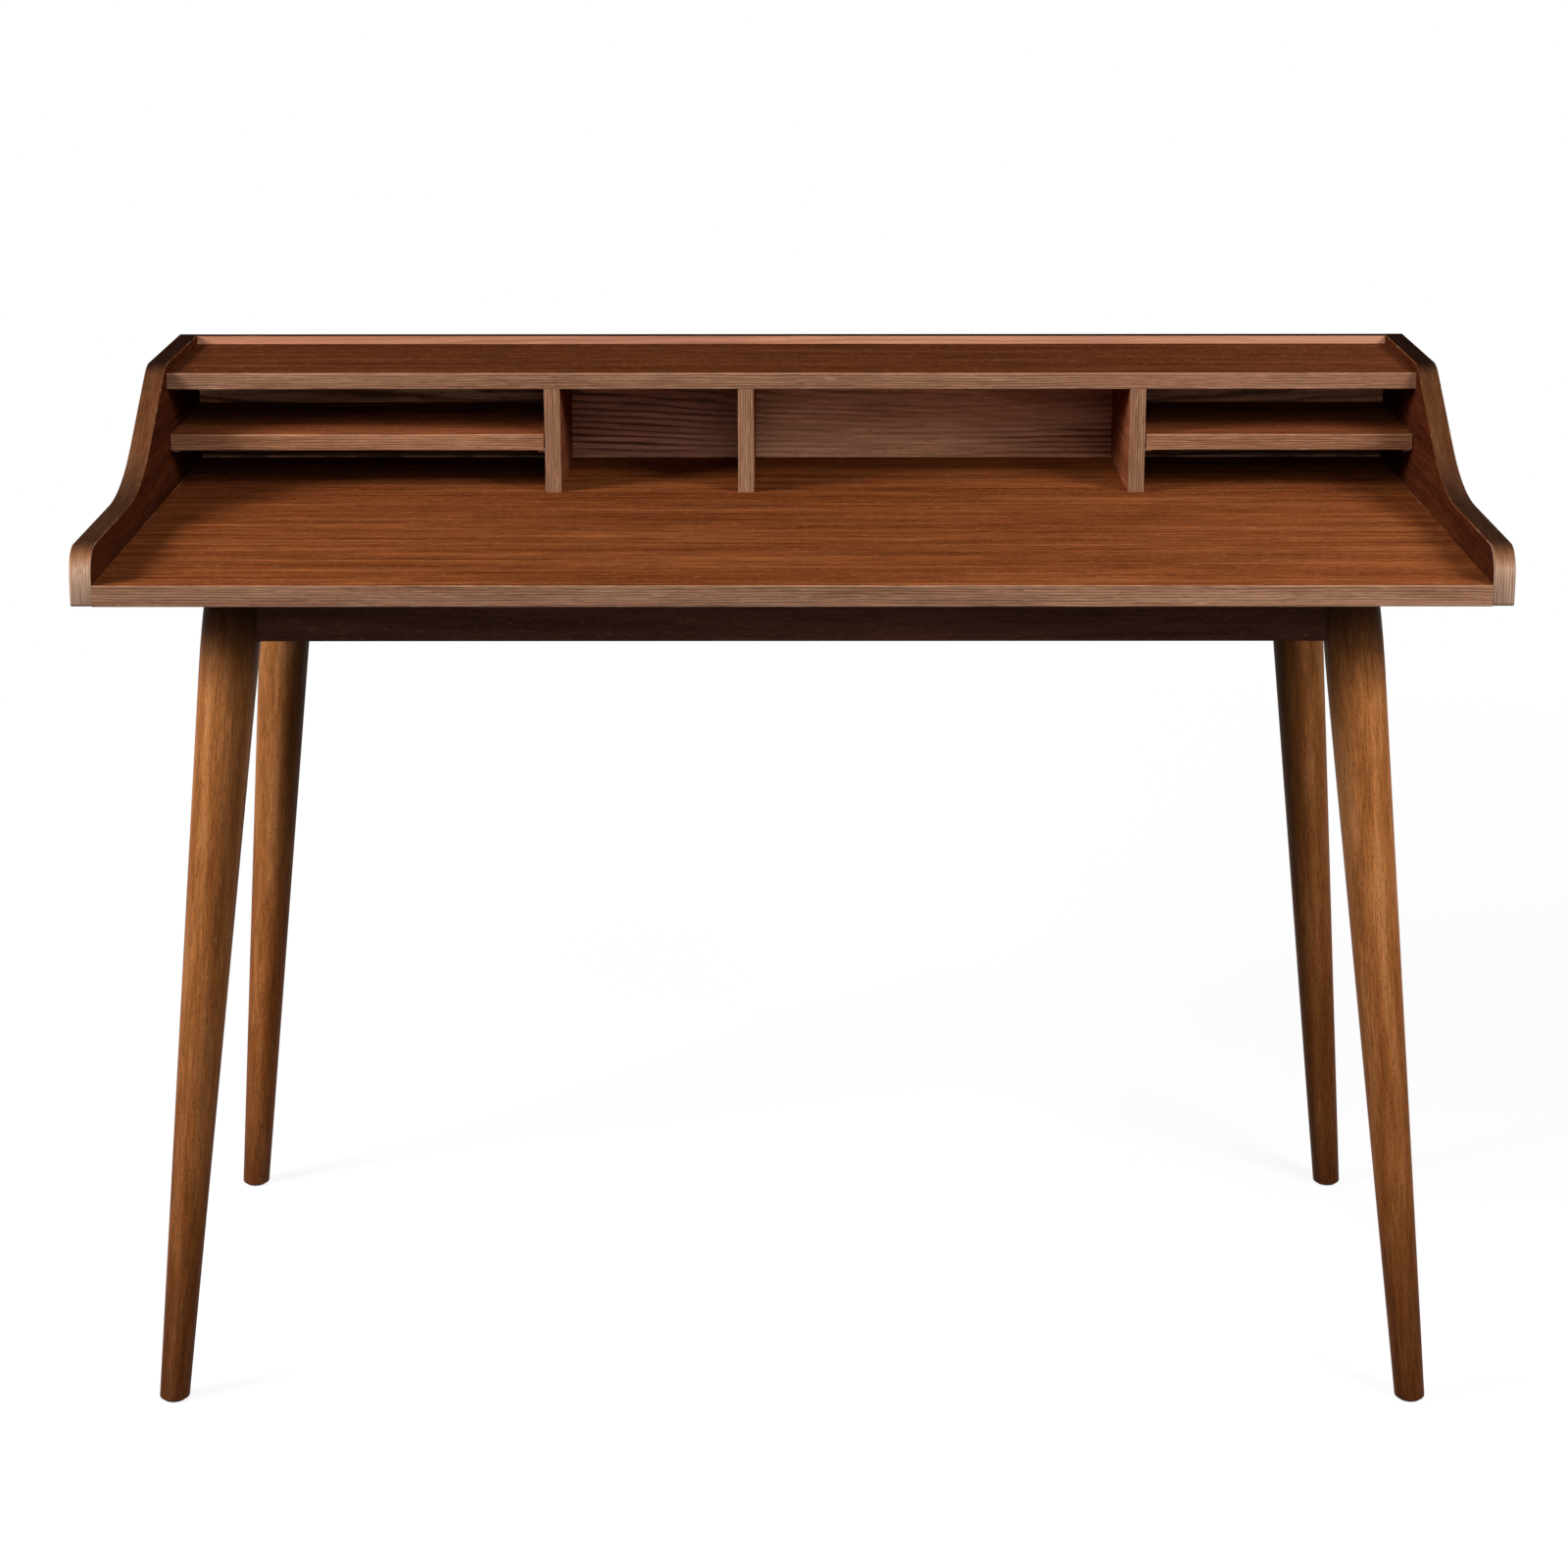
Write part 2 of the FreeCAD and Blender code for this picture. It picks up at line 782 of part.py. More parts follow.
def leg(side, end):
    """Turned leg, level at both ends, with flats where the frame meets it."""
    reach = leg_belly_diameter
    foot = leg_axis_point(side, end, 0)
    high = leg_axis_point(side, end, underside_height)
    low_x, high_x = sorted((foot.x, high.x))
    low_y, high_y = sorted((foot.y, high.y))
    slab = block(low_x - reach, high_x + reach, low_y - reach, high_y + reach,
                 glide_thickness, underside_height)
    body = leg_turning(side, end).common(slab)
    def foot_edge(middle, edge):
        return middle.z < glide_thickness + foot_rounding
    body = soften(body, foot_rounding, foot_edge)
    flats = [
        block(side * apron_half_x, side * (apron_half_x - reach), high.y - reach, high.y + reach,
              apron_under_z, underside_height),
        block(high.x - reach, high.x + reach, end * apron_half_y, end * (apron_half_y - reach),
              apron_under_z, underside_height),
        corner_flat(side, end),
    ]
    rooms = [leg_bolt_room(side, end), glide_nail_room(side, end)]
    rooms += holes_for(dowel_radius, apron_dowel_lines(side, end))
    return carve(body, flats + rooms)


def corner_flat(side, end):
    """What is cut from the leg's inner corner, back to the face of the corner block."""
    near = diagonal_sum(leg_corner_offset)
    far = near + leg_belly_diameter
    corners = [(near, 0), (far, 0), (0, far), (0, near), (near, 0)]
    low = apron_under_z
    wire = Part.makePolygon([corner_point(side, end, dx, dy, low) for dx, dy in corners])
    return Part.Face(wire).extrude(point(0, 0, apron_height))


def glide_nail_line(side, end):
    foot = leg_axis_point(side, end, glide_thickness)
    return foot, foot + point(0, 0, glide_nail_length)


def glide_nail_room(side, end):
    foot, tip = glide_nail_line(side, end)
    return hole(glide_nail_radius, foot, tip)


def foot_glide(side, end):
    """Nylon glide with a nail that holds it in the end of the leg."""
    foot, tip = glide_nail_line(side, end)
    pad = rod(glide_radius, point(foot.x, foot.y, 0), foot)
    def lower(middle, edge):
        return middle.z < glide_thickness / 2 and not runs_along(edge, 2)
    pad = soften(pad, glide_rounding, lower)
    return pad.fuse(rod(glide_nail_radius, foot, tip))


def long_apron(end):
    """Front or rear apron between the flats of two legs."""
    y = end * apron_line_y
    half = apron_thickness / 2
    board = block(-apron_half_x, apron_half_x, y - half, y + half, apron_under_z, underside_height)
    return finish_apron(board, 0)


def side_apron(side):
    """Left or right apron between the flats of two legs."""
    x = side * apron_line_x
    half = apron_thickness / 2
    board = block(x - half, x + half, -apron_half_y, apron_half_y, apron_under_z, underside_height)
    return finish_apron(board, 1)


def finish_apron(board, along):
    """An apron with its lower corners rounded and its holes drilled."""
    def lower(middle, edge):
        return middle.z < apron_under_z + apron_rounding and runs_along(edge, along)
    board = soften(board, apron_rounding, lower)
    rooms = apron_screw_rooms() + all_block_screw_rooms()
    rooms += holes_for(dowel_radius, all_apron_dowel_lines())
    near = [room for room in rooms if board.BoundBox.intersect(room.BoundBox)]
    return carve(board, near)


def corner_block(side, end):
    """Glued block across a corner of the frame, pulled against the leg by the leg bolt."""
    near = diagonal_sum(leg_corner_offset)
    far = diagonal_sum(leg_corner_offset + block_depth)
    dx = apron_inner_dx()
    dy = apron_inner_dy()
    corners = [(near - dy, dy), (far - dy, dy), (dx, far - dx), (dx, near - dx), (near - dy, dy)]
    low = underside_height - block_height
    wire = Part.makePolygon([corner_point(side, end, cx, cy, low) for cx, cy in corners])
    body = Part.Face(wire).extrude(point(0, 0, block_height))
    return carve(body, [leg_bolt_room(side, end)] + block_screw_rooms(side, end))


def dowels(radius, lines):
    return [rod(radius, start, end) for start, end in lines]


def corners_of_frame(make):
    return [make(side, end) for side in SIDES.values() for end in ENDS.values()]


def all_nodes():
    """Every node of the desk by name: one solid, or a list of separate solids."""
    nodes = {
        "desktop_panel": desktop_panel(),
        "desktop_front_band": desktop_front_band(),
        "desktop_rear_band": desktop_rear_band(),
        "top_shelf": top_shelf(),
        "top_shelf_band": top_shelf_band(),
        "back_panel": back_panel(),
        "back_panel_band": back_panel_band(),
    }
    for name, side in SIDES.items():
        nodes[name + "_side_panel"] = side_panel(side)
        nodes[name + "_side_band"] = side_edge_band(side)
        nodes[name + "_loose_shelf"] = loose_shelf(side)
        nodes[name + "_loose_shelf_band"] = loose_shelf_band(side)
        nodes[name + "_shelf_pins"] = shelf_pins(side)
        nodes[name + "_apron"] = side_apron(side)
    for name, x0 in divider_places.items():
        nodes[name + "_divider"] = divider(x0)
        nodes[name + "_divider_band"] = divider_band(x0)
    for end_name, end in ENDS.items():
        nodes[end_name + "_apron"] = long_apron(end)
        for side_name, side in SIDES.items():
            corner = end_name + "_" + side_name
            nodes[corner + "_leg"] = leg(side, end)
            nodes[corner + "_corner_block"] = corner_block(side, end)
            nodes[corner + "_foot_glide"] = foot_glide(side, end)
    nodes["leg_bolts"] = corners_of_frame(leg_bolt)
    nodes["leg_bolt_washers"] = corners_of_frame(leg_washer)
    nodes["leg_bolt_nuts"] = corners_of_frame(leg_nut)
    nodes["corner_block_screws"] = block_screws()
    nodes["apron_screws"] = apron_screws()
    nodes["back_panel_screws"] = back_screws()
    nodes["apron_dowels"] = dowels(dowel_radius, all_apron_dowel_lines())
    nodes["side_panel_dowels"] = dowels(dowel_radius, side_dowel_lines())
    nodes["top_shelf_dowels"] = dowels(slim_dowel_radius, shelf_dowel_lines())
    nodes["divider_dowels"] = dowels(slim_dowel_radius, all_divider_dowel_lines())
    nodes["desktop_cam_locks"] = [
        cam_lock(side, y, desktop_mid_z, underside_height, desktop_cam_depth)
        for side, y in desktop_cam_bolt_places()]
    nodes["desktop_cam_bolts"] = [
        cam_bolt(side, y, desktop_mid_z) for side, y in desktop_cam_bolt_places()]
    nodes["top_shelf_cam_locks"] = [
        cam_lock(side, y, top_shelf_mid_z, top_shelf_under_z, shelf_cam_depth)
        for side, y in shelf_cam_bolt_places()]
    nodes["top_shelf_cam_bolts"] = [
        cam_bolt(side, y, top_shelf_mid_z) for side, y in shelf_cam_bolt_places()]
    return nodes


def main():
    os.makedirs("parts", exist_ok=True)
    for name, shape in all_nodes().items():
        if isinstance(shape, list):
            shape = Part.makeCompound(shape)
        shape.exportStep("parts/" + name + ".step")
        print(name, len(shape.Solids), shape.isValid(), round(shape.Volume))


main()
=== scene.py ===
import math
import bpy
from mathutils import Matrix, Vector


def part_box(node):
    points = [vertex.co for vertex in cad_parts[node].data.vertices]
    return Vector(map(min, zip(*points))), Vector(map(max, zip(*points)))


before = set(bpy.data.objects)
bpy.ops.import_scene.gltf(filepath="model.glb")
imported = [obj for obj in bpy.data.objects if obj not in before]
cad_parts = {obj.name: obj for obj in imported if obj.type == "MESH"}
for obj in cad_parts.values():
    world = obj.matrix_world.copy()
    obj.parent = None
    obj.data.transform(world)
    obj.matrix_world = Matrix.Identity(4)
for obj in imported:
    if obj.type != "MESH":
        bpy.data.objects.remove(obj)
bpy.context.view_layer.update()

X_AXIS = (1, 0, 0)
Y_AXIS = (0, 1, 0)
Z_AXIS = (0, 0, 1)

# Which way the grain runs: along it, across it, and into the board
GRAIN_ALONG_WIDTH = (X_AXIS, Y_AXIS, Z_AXIS)
GRAIN_ALONG_DEPTH = (Y_AXIS, Z_AXIS, X_AXIS)
GRAIN_UPRIGHT = (Z_AXIS, X_AXIS, Y_AXIS)
GRAIN_ON_BACK = (X_AXIS, Z_AXIS, Y_AXIS)
GRAIN_ROUND_SIDE = ((0, 1, 1), X_AXIS, (0, 0, 0))


def tone(red, green, blue):
    """A screen colour of 0 to 255 a channel, as the linear colour a shader takes."""
    linear = [v / 12.92 if v <= 0.04045 else ((v + 0.055) / 1.055) ** 2.4
              for v in (red / 255, green / 255, blue / 255)]
    return (*linear, 1.0)


def tints(*rows):
    """Stops for a ramp, each given as its position and the share of red, green and blue that it keeps."""
    return [(position, (red, green, blue, 1)) for position, red, green, blue in rows]


class Nodes:
    """A node tree, with short calls that add a node and link what it is given."""

    def __init__(self, tree):
        self.tree = tree
        self.tree.nodes.clear()

    def put(self, socket, value):
        if isinstance(value, bpy.types.NodeSocket):
            self.tree.links.new(value, socket)
        else:
            socket.default_value = value

    def node(self, kind, values=None, **settings):
        made = self.tree.nodes.new(kind)
        for key, setting in settings.items():
            setattr(made, key, setting)
        for key, value in (values or {}).items():
            self.put(made.inputs[key], value)
        return made

    def place(self):
        return self.node("ShaderNodeTexCoord").outputs["Object"]

    def normal(self):
        return self.node("ShaderNodeNewGeometry").outputs["Normal"]

    def math(self, operation, *values):
        return self.node("ShaderNodeMath", dict(enumerate(values)), operation=operation).outputs[0]

    def vector(self, operation, *values):
        made = self.node("ShaderNodeVectorMath", dict(enumerate(values)), operation=operation)
        return made.outputs["Value" if operation in ("DOT_PRODUCT", "LENGTH") else "Vector"]

    def combine(self, x, y, z):
        return self.node("ShaderNodeCombineXYZ", {0: x, 1: y, 2: z}).outputs[0]

    def split(self, vector):
        return self.node("ShaderNodeSeparateXYZ", {0: vector}).outputs

    def noise(self, place, counts, detail=2.0, roughness=0.5):
        """Noise with its own count of waves per metre along each axis."""
        scaled = self.vector("MULTIPLY", place, counts)
        made = self.node("ShaderNodeTexNoise", {"Vector": scaled, "Scale": 1.0, "Detail": detail,
                                                "Roughness": roughness, "Distortion": 0.0})
        return made.outputs["Fac"]

    def span(self, value, low, high, to_low=0.0, to_high=1.0):
        """The value's stretch from low to high, laid onto another, and held at its ends."""
        made = self.node("ShaderNodeMapRange", {"Value": value, "From Min": low, "From Max": high,
                                                "To Min": to_low, "To Max": to_high}, clamp=True)
        return made.outputs[0]

    def fade(self, value, edge, steps, to_low=0.0, to_high=1.0):
        """The same, where low and high are two steps away from an edge."""
        return self.span(value, edge + steps[0], edge + steps[1], to_low, to_high)

    def ramp(self, value, stops):
        made = self.node("ShaderNodeValToRGB", {"Fac": value})
        elements = made.color_ramp.elements
        elements[0].position, elements[0].color = stops[0]
        elements[1].position, elements[1].color = stops[-1]
        for position, colour in stops[1:-1]:
            elements.new(position).color = colour
        return made.outputs["Color"]

    def mix(self, share, first, second, blend="MIX"):
        made = self.node("ShaderNodeMix", data_type="RGBA", blend_type=blend)
        self.put(made.inputs["Factor"], share)
        colours = [s for s in made.inputs if s.type == "RGBA"]
        self.put(colours[0], first)
        self.put(colours[1], second)
        return [s for s in made.outputs if s.type == "RGBA"][0]

    def tint(self, colour, kept):
        """The colour times another colour."""
        return self.mix(1.0, colour, kept, "MULTIPLY")

    def shade(self, colour, share):
        """The colour times a number."""
        return self.tint(colour, self.combine(share, share, share))

    def mix_shaders(self, share, first, second):
        return self.node("ShaderNodeMixShader", {0: share, 1: first, 2: second}).outputs[0]


class Shader(Nodes):
    """A material with a principled surface."""

    def __init__(self, name):
        self.material = bpy.data.materials.new(name)
        self.material.use_nodes = True
        super().__init__(self.material.node_tree)
        self.surface = self.node("ShaderNodeBsdfPrincipled")
        self.node("ShaderNodeOutputMaterial", {"Surface": self.surface.outputs["BSDF"]})

    def finish(self, colour, roughness, height, depth, specular):
        """Links the colour, the roughness and a bump of the given depth, and hands the material back."""
        bump = self.node("ShaderNodeBump", {"Height": height, "Distance": depth, "Strength": 1.0})
        self.put(self.surface.inputs["Base Color"], colour)
        self.put(self.surface.inputs["Roughness"], roughness)
        self.put(self.surface.inputs["Normal"], bump.outputs["Normal"])
        self.surface.inputs["Specular IOR Level"].default_value = specular
        return self.material


# Growth rings: their centre for long arches, or None for lines side by side; metres between rings; how far
# they wander, over which counts; which part of each wave is dark; and how strong the lines are, in patches
TOP_RINGS = {"centre": (0.22, -0.06), "spacing": 0.013, "wobble": 12.0, "waves": (2.5, 9),
             "crest": (0.3, 1.0), "patches": (4, 30), "least": 0.05, "most": 0.65}
BACK_RINGS = {"centre": (0.14, 0.828), "spacing": 0.0056, "wobble": 22.0, "waves": (3.5, 16),
              "crest": (-0.1, 1.0), "patches": (4, 26), "least": 0.15, "most": 0.95}
BAND_RINGS = {"centre": None, "spacing": 0.0024, "wobble": 16.0, "waves": (5, 34),
              "crest": (0.1, 0.95), "patches": (7, 210), "least": 0.35, "most": 0.92}
SIDE_BAND_RINGS = {**BAND_RINGS, "wobble": 4.0, "least": 0.25, "most": 0.72}

# What sets one kind of wood apart. Counts are per metre, along the grain and across it. The tones are those
# the desk was seen with, so the boards that stood in shade are written darker than the desktop.
BOARD = {"tones": (tone(130, 67, 33), tone(154, 84, 44), tone(176, 102, 56)),
         "grain_tone": tone(98, 47, 23), "figure": (3.2, 60), "sway": (2.4, 9, 0.008),
         "lines": (22, 300), "line_depth": 0.34,
         "flecks": (130, 900), "fleck_share": 0.5, "fleck_tone": tone(218, 152, 98),
         "pores": (120, 620), "pore_share": 0.38, "rings": TOP_RINGS,
         "roughness": (0.5, 0.64), "specular": 0.0, "relief": 0.00015}
SIDE_BOARD = {**BOARD, "rings": None, "tones": (tone(66, 31, 17), tone(79, 37, 20), tone(92, 44, 24)),
              "grain_tone": tone(54, 24, 14), "fleck_share": 0.0, "line_depth": 0.3, "pore_share": 0.35}
SHELF_BOARD = {**BOARD, "rings": None, "tones": (tone(112, 57, 31), tone(130, 69, 40), tone(146, 81, 48)),
               "grain_tone": tone(84, 40, 22), "fleck_share": 0.3}
TOP_SHELF_BOARD = {**SHELF_BOARD, "tones": (tone(90, 45, 24), tone(105, 55, 31), tone(118, 64, 37)),
                   "grain_tone": tone(68, 32, 17)}
DIVIDER_BOARD = {**SIDE_BOARD, "tones": (tone(116, 62, 40), tone(132, 74, 48), tone(146, 86, 57)),
                 "grain_tone": tone(84, 40, 24)}
# The back panel's tones are lighter than the desktop's, to make up for the shade it stands in
BACK_BOARD = {**BOARD, "tones": (tone(203, 139, 104), tone(229, 165, 128), tone(244, 185, 149)),
              "grain_tone": tone(104, 60, 44), "figure": (2.0, 30), "sway": (1.8, 7, 0.012),
              "lines": (14, 320), "line_depth": 0.3, "rings": BACK_RINGS,
              "flecks": (30, 500), "fleck_share": 0.2, "fleck_tone": tone(226, 176, 144)}
BAND = {"tones": (tone(132, 92, 68), tone(146, 105, 80), tone(160, 119, 92)),
        "grain_tone": tone(74, 48, 36), "figure": (6, 60), "sway": (14, 40, 0.0012),
        "lines": (34, 700), "line_depth": 0.22,
        "flecks": (40, 900), "fleck_share": 0.3, "fleck_tone": tone(206, 168, 142),
        "pores": (70, 900), "pore_share": 0.4, "rings": BAND_RINGS,
        "roughness": (0.48, 0.62), "specular": 0.08, "relief": 0.00012}
SHELF_BAND = {**BAND, "tones": (tone(134, 88, 60), tone(151, 103, 73), tone(166, 119, 88))}
TOP_EDGE_BAND = {**BAND, "tones": (tone(48, 30, 23), tone(56, 35, 27), tone(66, 43, 34)),
                 "grain_tone": tone(34, 21, 16), "fleck_share": 0.1, "specular": 0.0}
SIDE_BAND = {**BAND, "tones": (tone(160, 127, 105), tone(178, 145, 122), tone(194, 161, 137)),
             "grain_tone": tone(102, 74, 58), "rings": SIDE_BAND_RINGS, "specular": 0.0}
APRON = {**SIDE_BOARD, "tones": (tone(72, 44, 37), tone(84, 52, 44), tone(96, 60, 50)),
         "grain_tone": tone(54, 33, 28), "line_depth": 0.16, "fleck_share": 0.1}
LEG = {**BOARD, "rings": None, "tones": (tone(144, 85, 41), tone(168, 105, 56), tone(190, 126, 76)),
       "grain_tone": tone(84, 46, 21), "figure": (6, 70), "sway": (3, 12, 0.003),
       "lines": (36, 760), "line_depth": 0.32,
       "flecks": (90, 900), "fleck_share": 0.3, "fleck_tone": tone(204, 148, 104),
       "pores": (240, 1300), "pore_share": 0.7, "roughness": (0.42, 0.56), "specular": 0.03}
BEECH = {**BOARD, "rings": None, "tones": (tone(186, 142, 100), tone(206, 164, 120), tone(220, 182, 140)),
         "grain_tone": tone(170, 124, 84), "line_depth": 0.12,
         "flecks": (90, 500), "fleck_share": 0.3, "fleck_tone": tone(170, 120, 80),
         "pore_share": 0.2, "roughness": (0.55, 0.7), "specular": 0.25}

# Shared by all woods: between which values of its noise each mark comes
FIGURE_STOPS = (0.34, 0.5, 0.66)
LINE_SPAN = (0.38, 0.62)
FLECK_SPAN = (0.6, 0.7)
PORE_SPAN = (0.6, 0.68)
RING_PATCH_SPAN = (0.36, 0.62)
# The pores' pattern is moved off the flecks', and each board's off the one before
PORE_SHIFT = (1, 2, 3)
SEED_STEP = 3.7
PORE_HEIGHT_SHARE = 0.6
# Worn patches, in counts along, across and into the grain, and how much the fine lines add to them
WEAR_COUNTS = (9, 14, 14)
WEAR_LINE_SHARE = 0.4
WEAR_SPAN = (0.5, 0.95)
# Long arches: how far they are drawn out along the grain, and where they run straight
CATHEDRAL_STRETCH = 0.085
CATHEDRAL_REACH = 0.034

STEEL = {"tones": (tone(176, 176, 170), tone(214, 214, 208)), "spangle": 700.0,
         "roughness": (0.25, 0.42), "marks": (300, 300, 1500)}
CAST_ZINC = {"tones": (tone(140, 141, 142), tone(182, 183, 184)), "spangle": 900.0,
             "roughness": (0.4, 0.6), "marks": (800, 800, 800)}
METAL_SPAN = (0.2, 0.8)
METAL_PATCH_SHARE = 0.5
METAL_SPECULAR = 0.5
FINE_RELIEF = 0.00005

NYLON_TONES = (tone(26, 24, 23), tone(62, 58, 55))
NYLON_GRAIN = (900, 900, 900)
NYLON_SCUFFS = (160, 160, 400)
NYLON_TONE_STOPS = (0.35, 0.7)
NYLON_ROUGH_SPAN = (0.3, 0.7)
NYLON_ROUGHNESS = (0.45, 0.65)
NYLON_SPECULAR = 0.4


def grain_place(shader, grain):
    """Coordinates that run along, across and into the grain."""
    place = shader.place()
    return shader.combine(*[shader.vector("DOT_PRODUCT", place, axis) for axis in grain])


def grain_noise(shader, place, counts, **settings):
    """Noise with one count along the grain and another across it."""
    along, across = counts
    return shader.noise(place, (along, across, across), **settings)


def ring_lines(shader, place, rings):
    """Dark lines at the growth rings: side by side, or nested in long arches."""
    along, across, _ = shader.split(place)
    if rings["centre"]:
        centre_along, centre_across = rings["centre"]
        away = shader.math("SUBTRACT", along, centre_along)
        bend = shader.math("TANH", shader.math("MULTIPLY", away, CATHEDRAL_STRETCH / CATHEDRAL_REACH))
        reach = shader.math("MULTIPLY", bend, CATHEDRAL_REACH)
        height = shader.math("SUBTRACT", across, centre_across)
        across = shader.vector("LENGTH", shader.combine(reach, height, 0.0))
    wobble = grain_noise(shader, place, rings["waves"], detail=3, roughness=0.6)
    turns = shader.math("MULTIPLY", across, math.tau / rings["spacing"])
    phase = shader.math("ADD", turns, shader.math("MULTIPLY", wobble, rings["wobble"]))
    patches = grain_noise(shader, place, rings["patches"])
    strength = shader.span(patches, *RING_PATCH_SPAN, rings["least"], rings["most"])
    crest = shader.span(shader.math("SINE", phase), *rings["crest"])
    return shader.math("MULTIPLY", crest, strength)


def wood(name, look, grain, seed, accent=None):
    """Walnut or beech: a slow figure, ring lines, fine streaks, flecks, pores and worn patches."""
    shader = Shader(name)
    shift = seed * SEED_STEP
    true_place = grain_place(shader, grain)
    place = shader.vector("ADD", true_place, (shift, shift / 2, shift / 3))
    sway_along, sway_across, sway_width = look["sway"]
    sway = grain_noise(shader, place, (sway_along, sway_across), detail=3)
    sway = shader.math("MULTIPLY", shader.math("SUBTRACT", sway, 0.5), sway_width * 2)
    place = shader.vector("ADD", place, shader.combine(0.0, sway, sway))

    figure = grain_noise(shader, place, look["figure"], detail=4, roughness=0.6)
    colour = shader.ramp(figure, list(zip(FIGURE_STOPS, look["tones"])))
    if look["rings"]:
        colour = shader.mix(ring_lines(shader, true_place, look["rings"]), colour, look["grain_tone"])

    lines = grain_noise(shader, place, look["lines"], detail=4, roughness=0.7)
    depth = look["line_depth"]
    colour = shader.shade(colour, shader.span(lines, *LINE_SPAN, 1 - depth, 1 + depth / 2))

    flecks = shader.span(grain_noise(shader, place, look["flecks"]), *FLECK_SPAN)
    colour = shader.mix(shader.math("MULTIPLY", flecks, look["fleck_share"]), colour, look["fleck_tone"])
    pore_place = shader.vector("ADD", place, PORE_SHIFT)
    pores = shader.span(grain_noise(shader, pore_place, look["pores"]), *PORE_SPAN)
    colour = shader.mix(shader.math("MULTIPLY", pores, look["pore_share"]), colour, look["grain_tone"])
    if accent:
        colour = accent(shader, colour)

    wear = shader.noise(place, WEAR_COUNTS, detail=4, roughness=0.6)
    mixed = shader.math("ADD", wear, shader.math("MULTIPLY", lines, WEAR_LINE_SHARE))
    roughness = shader.span(mixed, *WEAR_SPAN, *look["roughness"])
    height = shader.math("SUBTRACT", lines, shader.math("MULTIPLY", pores, PORE_HEIGHT_SHARE))
    return shader.finish(colour, roughness, height, look["relief"], look["specular"])


def metal(name, look):
    """Plated steel or cast zinc: a patchy tone with fine marks."""
    shader = Shader(name)
    place = shader.place()
    cells = shader.node("ShaderNodeTexVoronoi", {"Vector": place, "Scale": look["spangle"]})
    patch = shader.split(cells.outputs["Color"])["X"]
    marks = shader.noise(place, look["marks"], detail=3)
    blend = shader.math("ADD", shader.math("MULTIPLY", patch, METAL_PATCH_SHARE),
                        shader.math("MULTIPLY", marks, 1 - METAL_PATCH_SHARE))
    colour = shader.ramp(blend, list(zip(METAL_SPAN, look["tones"])))
    roughness = shader.span(blend, *METAL_SPAN, *look["roughness"])
    shader.surface.inputs["Metallic"].default_value = 1.0
    return shader.finish(colour, roughness, marks, FINE_RELIEF, METAL_SPECULAR)


def nylon(name):
    """Black moulded nylon with scuffs."""
    shader = Shader(name)
    place = shader.place()
    grain = shader.noise(place, NYLON_GRAIN)
    scuffs = shader.noise(place, NYLON_SCUFFS, detail=4)
    colour = shader.ramp(scuffs, list(zip(NYLON_TONE_STOPS, NYLON_TONES)))
    roughness = shader.span(scuffs, *NYLON_ROUGH_SPAN, *NYLON_ROUGHNESS)
    return shader.finish(colour, roughness, grain, FINE_RELIEF, NYLON_SPECULAR)


def dress(node, material):
    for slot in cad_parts[node].material_slots:
        slot.material = material


def dress_wood(node, look, grain, seed, accent=None):
    dress(node, wood(node + "_walnut", look, grain, seed, accent))


# Where a pale line is broken up, for the painted highlights on edges and arrises and for the pale line at
# the desktop's ends: counts per metre, between which values of the noise it comes, its least share and, for
# two of them, its most
HIGHLIGHT_BREAKS = (40, 0.35, 0.6, 0.15)
JOINT_LINE_BREAKS = (14, 0.46, 0.62, 0.0, 0.55)
ARRIS_HIGHLIGHT_BREAKS = (90, 0.55, 0.68, 0.0, 0.4)
# The pale tones of the painted highlights, and of the line at the desktop's ends
EDGE_TONE = tone(206, 152, 116)
ARRIS_TONE = tone(178, 150, 128)
# The painted highlight along a board's top edge: its width and its strength
TOP_LINE = (0.0012, 0.5)
# The painted highlight at the back panel's foot: its height over the desktop, its width and its strength
FOOT_LINE_RISE = 0.0008
FOOT_LINE = (0.0014, 0.8)
# The pale line at the desktop's ends and the painted highlight on the side bands' inner arris, in steps
# from the desktop's end
JOINT_FADE = (-0.0012, -0.0006)
ARRIS_FADE = (0.0004, 0.0009)


def broken(shader, count, low, high, least, most):
    """A patchy share that breaks a line up along its length."""
    patches = shader.noise(shader.place(), (count, count, count), detail=3)
    return shader.span(patches, low, high, least, most)


def highlight_line(height, width, strength):
    """A painted highlight: a pale line at one height, where a board's edge meets its neighbour."""
    def paint(shader, base):
        reach = shader.math("ABSOLUTE", shader.math("SUBTRACT", shader.split(shader.place())["Z"], height))
        near = shader.span(reach, width / 2, width, 1.0, 0.0)
        share = shader.math("MULTIPLY", near, broken(shader, *HIGHLIGHT_BREAKS, strength))
        return shader.mix(share, base, EDGE_TONE)
    return paint


# A painted highlight along a part's top edge
def top_edge_highlight(node):
    return highlight_line(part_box(node)[1].z, *TOP_LINE)


# The tints and shades below are painted into the wood by place or by the way a face turns. They follow the
# light and shadow that the desk was seen in as much as the wood itself.

# How light the desktop is, from its left end to its right end, partly painted light and shade
DESKTOP_TINTS = tints((0.0, 0.74, 0.72, 0.71), (0.3, 0.72, 0.7, 0.68), (0.5, 0.72, 0.7, 0.68),
                      (0.72, 0.87, 0.86, 0.85), (1.0, 1.0, 1.0, 1.0))
# The same for the back panel, partly painted shade: the middle bay is lighter than its neighbours
BACK_TINTS = tints((0.0, 0.66, 0.62, 0.61), (0.29, 0.62, 0.59, 0.57), (0.31, 0.55, 0.46, 0.48),
                   (0.455, 0.6, 0.5, 0.52), (0.475, 1.0, 0.97, 0.94), (0.63, 1.0, 1.0, 1.0),
                   (0.77, 0.44, 0.33, 0.32), (0.79, 0.66, 0.62, 0.61), (1.0, 0.66, 0.62, 0.61))
